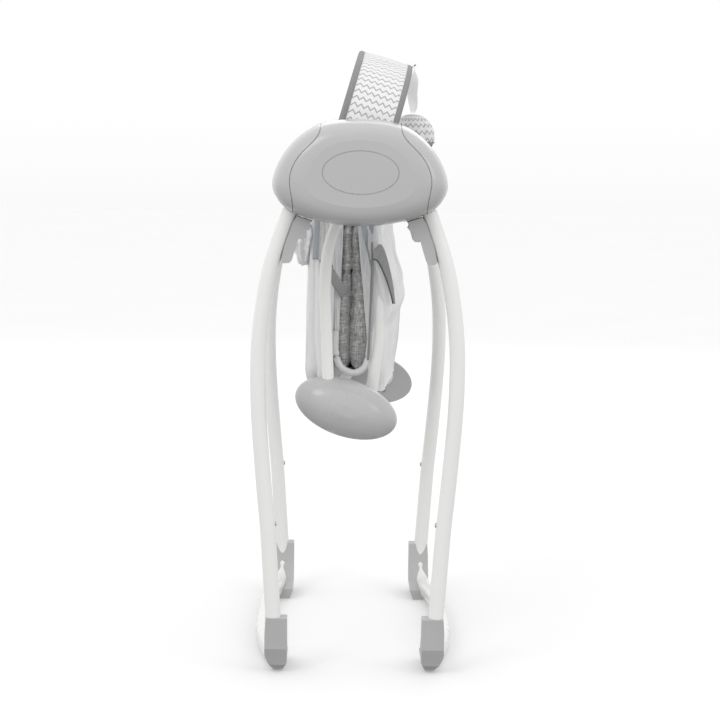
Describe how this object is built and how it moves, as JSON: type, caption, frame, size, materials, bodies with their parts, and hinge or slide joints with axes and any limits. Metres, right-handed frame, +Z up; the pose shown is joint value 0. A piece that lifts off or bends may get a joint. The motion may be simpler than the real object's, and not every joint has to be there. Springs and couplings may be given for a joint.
{
  "type": "portable baby swing",
  "caption": "Folding powered baby swing, folded flat: grey side housings, white tube legs in grey boots, fabric seat folded between the arms, arched toy bar.",
  "frame": {"origin": "middle of the folded footprint, on the floor", "axes": "+X towards the front (the child's feet), +Y to the child's left, +Z up"},
  "size_m": [0.249, 0.55, 0.7312],
  "materials": {
    "grey_gloss_plastic": "glossy moulded",
    "white_painted_tube": "gloss powder coat",
    "grey_boot_plastic": "satin moulded",
    "grey_matte_plastic": "satin moulded",
    "white_moulded_plastic": "plain moulded",
    "button_plastic": "soft touch",
    "bright_steel": "zinc plated",
    "battery_can": "printed wrap, no marks",
    "circuit_board": "solder mask",
    "copper_wire": "enamelled winding",
    "white_fabric": "satin weave",
    "heather_fabric": "heather knit",
    "chevron_fabric": "white with grey chevron rows"
  },
  "bodies": {
    "root": {"right_pod_outer_shell": "grey_gloss_plastic", "right_pod_inner_shell": "grey_gloss_plastic", "left_pod_outer_shell": "grey_gloss_plastic", "left_pod_inner_shell": "grey_gloss_plastic", "leg_hinge_pins": "bright_steel", "housing_screws": "bright_steel", "shaft_bushes": "white_moulded_plastic", "batteries": "battery_can", "battery_contacts": "bright_steel", "battery_door": "grey_gloss_plastic", "control_board": "circuit_board", "drive_coil": "copper_wire"},
    "power_button": {"power_button": "button_plastic"},
    "timer_button": {"timer_button": "button_plastic"},
    "front_frame": {"front_right_upper_leg": "white_painted_tube", "front_right_hinge_bracket": "white_moulded_plastic", "front_right_boot": "grey_boot_plastic", "front_left_upper_leg": "white_painted_tube", "front_left_hinge_bracket": "white_moulded_plastic", "front_left_boot": "grey_boot_plastic", "front_floor_tube": "white_painted_tube"},
    "front_right_latch": {"front_right_release_latch": "grey_matte_plastic"},
    "front_right_snap": {"front_right_snap_button": "bright_steel"},
    "front_left_latch": {"front_left_release_latch": "grey_matte_plastic"},
    "front_left_snap": {"front_left_snap_button": "bright_steel"},
    "rear_frame": {"rear_right_upper_leg": "white_painted_tube", "rear_right_hinge_bracket": "white_moulded_plastic", "rear_right_boot": "grey_boot_plastic", "rear_left_upper_leg": "white_painted_tube", "rear_left_hinge_bracket": "white_moulded_plastic", "rear_left_boot": "grey_boot_plastic", "rear_floor_tube": "white_painted_tube"},
    "rear_right_latch": {"rear_right_release_latch": "grey_matte_plastic"},
    "rear_right_snap": {"rear_right_snap_button": "bright_steel"},
    "rear_left_latch": {"rear_left_release_latch": "grey_matte_plastic"},
    "rear_left_snap": {"rear_left_snap_button": "bright_steel"},
    "swing": {"swing_shafts": "bright_steel", "right_swing_arm": "white_painted_tube", "left_swing_arm": "white_painted_tube", "right_hub_cover": "grey_gloss_plastic", "left_hub_cover": "grey_gloss_plastic", "right_hub_plate": "grey_matte_plastic", "left_hub_plate": "grey_matte_plastic", "seat_pins": "bright_steel", "drive_rocker": "white_moulded_plastic", "drive_magnet": "bright_steel"},
    "seat_back": {"seat_back_tube": "white_painted_tube", "seat_back_sling": "white_fabric", "seat_back_pad": "heather_fabric", "harness_buckle": "grey_matte_plastic"},
    "seat_front": {"seat_front_tube": "white_painted_tube", "seat_front_sling": "white_fabric", "seat_front_pad": "heather_fabric"},
    "toy_bar": {"toy_bar_core": "white_moulded_plastic", "toy_bar_cover": "chevron_fabric", "toy_bar_hinge_plugs": "grey_matte_plastic"},
    "right_toy": {"right_toy": "chevron_fabric", "right_toy_ribbon": "white_fabric"},
    "left_toy": {"left_toy": "chevron_fabric", "left_toy_ribbon": "white_fabric"}
  },
  "joints": [
    {"name": "front_frame_fold", "type": "hinge", "parent": "root", "child": "front_frame", "pos_m": [0.074, 0, 0.558], "axis": [0, -1, 0], "range_deg": [0, 31]},
    {"name": "front_right_latch_pull", "type": "slide", "parent": "front_frame", "child": "front_right_latch", "axis": [0.3266, 0, -0.9452], "range_m": [0, 0.007], "stiffness_N_per_m": 400, "springref_m": -0.004},
    {"name": "front_right_snap_press", "type": "slide", "parent": "front_frame", "child": "front_right_snap", "axis": [1, 0, 0], "range_m": [0, 0.0025], "stiffness_N_per_m": 900, "springref_m": -0.002},
    {"name": "front_left_latch_pull", "type": "slide", "parent": "front_frame", "child": "front_left_latch", "axis": [0.3266, 0, -0.9452], "range_m": [0, 0.007], "stiffness_N_per_m": 400, "springref_m": -0.004},
    {"name": "front_left_snap_press", "type": "slide", "parent": "front_frame", "child": "front_left_snap", "axis": [1, 0, 0], "range_m": [0, 0.0025], "stiffness_N_per_m": 900, "springref_m": -0.002},
    {"name": "rear_frame_fold", "type": "hinge", "parent": "root", "child": "rear_frame", "pos_m": [-0.074, 0, 0.558], "axis": [0, 1, 0], "range_deg": [0, 31]},
    {"name": "rear_right_latch_pull", "type": "slide", "parent": "rear_frame", "child": "rear_right_latch", "axis": [-0.3266, 0, -0.9452], "range_m": [0, 0.007], "stiffness_N_per_m": 400, "springref_m": -0.004},
    {"name": "rear_right_snap_press", "type": "slide", "parent": "rear_frame", "child": "rear_right_snap", "axis": [-1, 0, 0], "range_m": [0, 0.0025], "stiffness_N_per_m": 900, "springref_m": -0.002},
    {"name": "rear_left_latch_pull", "type": "slide", "parent": "rear_frame", "child": "rear_left_latch", "axis": [-0.3266, 0, -0.9452], "range_m": [0, 0.007], "stiffness_N_per_m": 400, "springref_m": -0.004},
    {"name": "rear_left_snap_press", "type": "slide", "parent": "rear_frame", "child": "rear_left_snap", "axis": [-1, 0, 0], "range_m": [0, 0.0025], "stiffness_N_per_m": 900, "springref_m": -0.002},
    {"name": "swing_pivot", "type": "hinge", "parent": "root", "child": "swing", "pos_m": [0, 0, 0.59], "axis": [0, 1, 0], "range_deg": [-15, 15]},
    {"name": "seat_back_recline", "type": "hinge", "parent": "swing", "child": "seat_back", "pos_m": [-0.02589, 0.00248, 0.31], "axis": [-0.0906, -0.9959, 0], "range_deg": [0, 50]},
    {"name": "seat_front_unfold", "type": "hinge", "parent": "swing", "child": "seat_front", "pos_m": [0.02889, -0.0025, 0.31], "axis": [0.0906, 0.9959, 0], "range_deg": [0, 75]},
    {"name": "toy_bar_tilt", "type": "hinge", "parent": "root", "child": "toy_bar", "pos_m": [0.004, 0, 0.622], "axis": [0, 1, 0], "range_deg": [-40, 30]},
    {"name": "right_toy_swing", "type": "hinge", "parent": "toy_bar", "child": "right_toy", "pos_m": [0.06695, -0.048, 0.71093], "axis": [0, 1, 0], "range_deg": [-35, 18]},
    {"name": "left_toy_swing", "type": "hinge", "parent": "toy_bar", "child": "left_toy", "pos_m": [0.06695, 0.048, 0.71093], "axis": [0, 1, 0], "range_deg": [-35, 18]},
    {"name": "power_button_press", "type": "slide", "parent": "root", "child": "power_button", "axis": [0, -1, 0], "range_m": [0, 0.0015], "stiffness_N_per_m": 600, "springref_m": -0.001},
    {"name": "timer_button_press", "type": "slide", "parent": "root", "child": "timer_button", "axis": [0, -1, 0], "range_m": [0, 0.0015], "stiffness_N_per_m": 600, "springref_m": -0.001}
  ]
}
